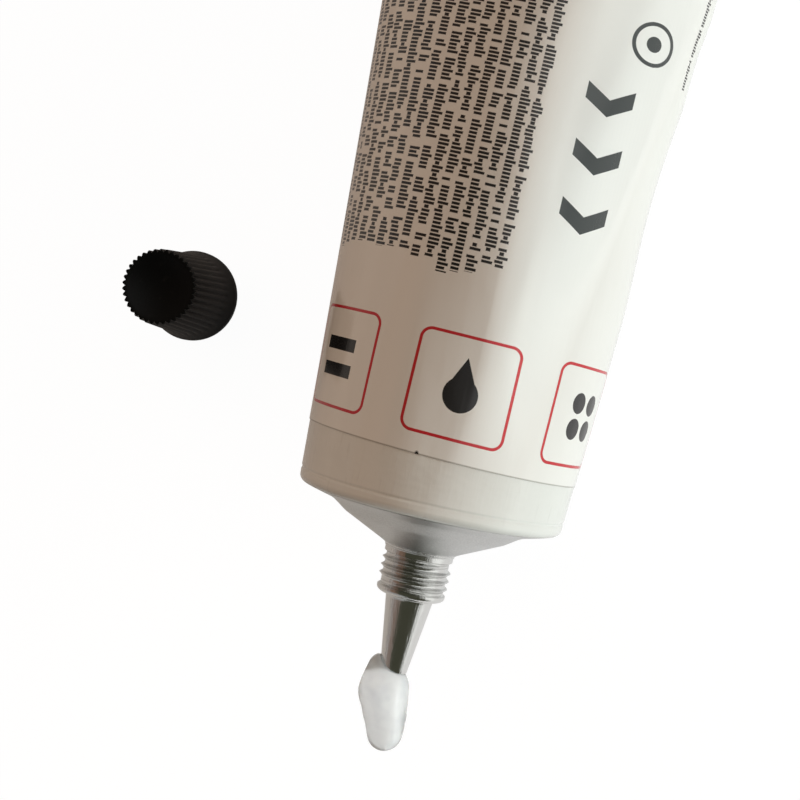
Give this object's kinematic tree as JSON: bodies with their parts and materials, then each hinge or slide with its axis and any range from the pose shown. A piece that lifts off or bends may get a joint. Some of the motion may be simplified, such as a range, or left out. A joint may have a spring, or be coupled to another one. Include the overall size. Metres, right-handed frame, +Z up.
{
  "type": "collapsible adhesive tube",
  "caption": "Collapsible aluminium tube of clear adhesive with a film label, threaded neck, tapered nozzle, a bead at its tip and a fluted screw cap off beside it.",
  "frame": {"origin": "centre of the footprint of the tube and the cap beside it, on the surface that they lie on", "axes": "+Z up, +Y along the tube towards its folded tail, +X to the tube's right seen from above with the tail up"},
  "size_m": [0.0862, 0.209, 0.0401],
  "materials": {
    "bare_aluminium": "satin, with white lacquer on the body",
    "label_film": "glossy printed film",
    "clear_adhesive": "wet translucent gel",
    "black_plastic": "fluted, fine matte"
  },
  "bodies": {
    "root": {"aluminium_tube": "bare_aluminium", "wrap_label": "label_film", "glue_bead": "clear_adhesive", "screw_cap": "black_plastic"}
  },
  "joints": []
}
